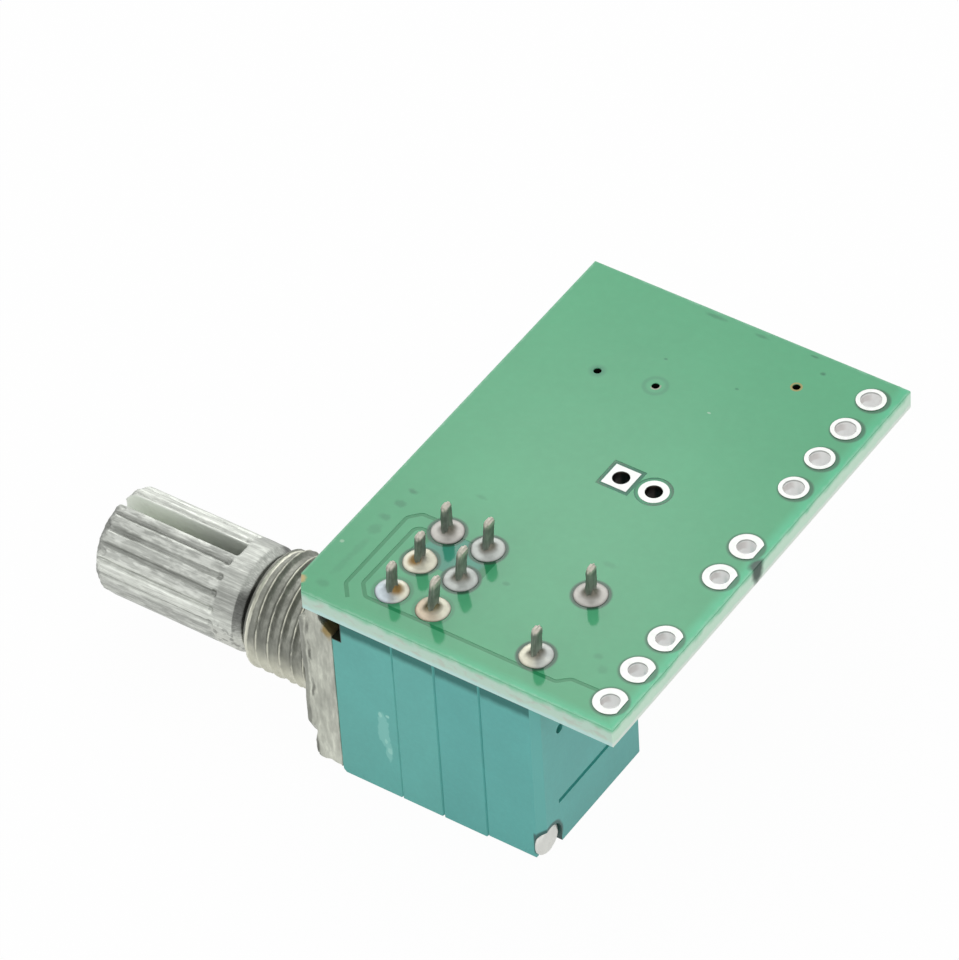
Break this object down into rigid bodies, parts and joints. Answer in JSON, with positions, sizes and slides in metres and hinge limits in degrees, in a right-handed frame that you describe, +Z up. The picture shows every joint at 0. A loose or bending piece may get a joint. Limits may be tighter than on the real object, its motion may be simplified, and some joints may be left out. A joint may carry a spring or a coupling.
{
  "type": "audio amplifier board",
  "caption": "Small audio amplifier circuit board standing on its rotary volume control, with a slotted splined shaft, threaded bushing and bare wire pads.",
  "frame": {"origin": "centre of the volume control's mounting face, on the shaft axis, where the threaded bushing starts", "axes": "+X along the shaft from its knob end towards the switch end, +Y along the board's long side away from the control, +Z up through the board to its solder side"},
  "size_m": [0.0344, 0.0285, 0.0149],
  "materials": {
    "board_laminate": "glossy green solder mask over copper, pale sawn edges",
    "tin": "dull bright tin",
    "cast_zinc": "rough die-cast zinc, scuffed and streaked",
    "shaft_metal": "scratched bright metal with handling marks",
    "spring_steel": "plain spring steel",
    "teal_moulding": "satin teal moulding",
    "phenolic": "brown phenolic paper with a black carbon track",
    "pale_moulding": "plain off-white moulding",
    "bronze": "thin bronze spring strip",
    "plated_brass": "stamped strip with dull plating",
    "black_moulding": "black epoxy, unmarked",
    "tan_ceramic": "tan fired ceramic",
    "black_ceramic": "black glazed ceramic, unmarked"
  },
  "bodies": {
    "amplifier": {"circuit_board": "board_laminate", "wire_pads": "tin", "capacitor_pads": "tin", "underside_pads": "tin", "gang_solder": "tin", "switch_solder": "tin", "capacitor_bodies": "tan_ceramic", "capacitor_ends": "tin", "resistor_bodies": "black_ceramic", "resistor_ends": "tin", "amplifier_chip": "black_moulding", "chip_leads": "tin", "front_plate": "cast_zinc", "front_gang_housing": "teal_moulding", "rear_gang_housing": "teal_moulding", "switch_housing": "teal_moulding", "rear_cover": "teal_moulding", "front_resistor_element": "phenolic", "rear_resistor_element": "phenolic", "front_terminals": "plated_brass", "rear_terminals": "plated_brass", "switch_spring": "plated_brass", "switch_contact": "plated_brass"},
    "shaft_set": {"volume_shaft": "shaft_metal", "retaining_ring": "spring_steel", "front_rotor": "pale_moulding", "rear_rotor": "pale_moulding", "front_wiper": "bronze", "rear_wiper": "bronze", "switch_cam": "pale_moulding"}
  },
  "joints": [
    {"name": "volume_turn", "type": "hinge", "parent": "amplifier", "child": "shaft_set", "pos_m": [0, 0, 0], "axis": [1, 0, 0], "range_deg": [0, 300]}
  ]
}
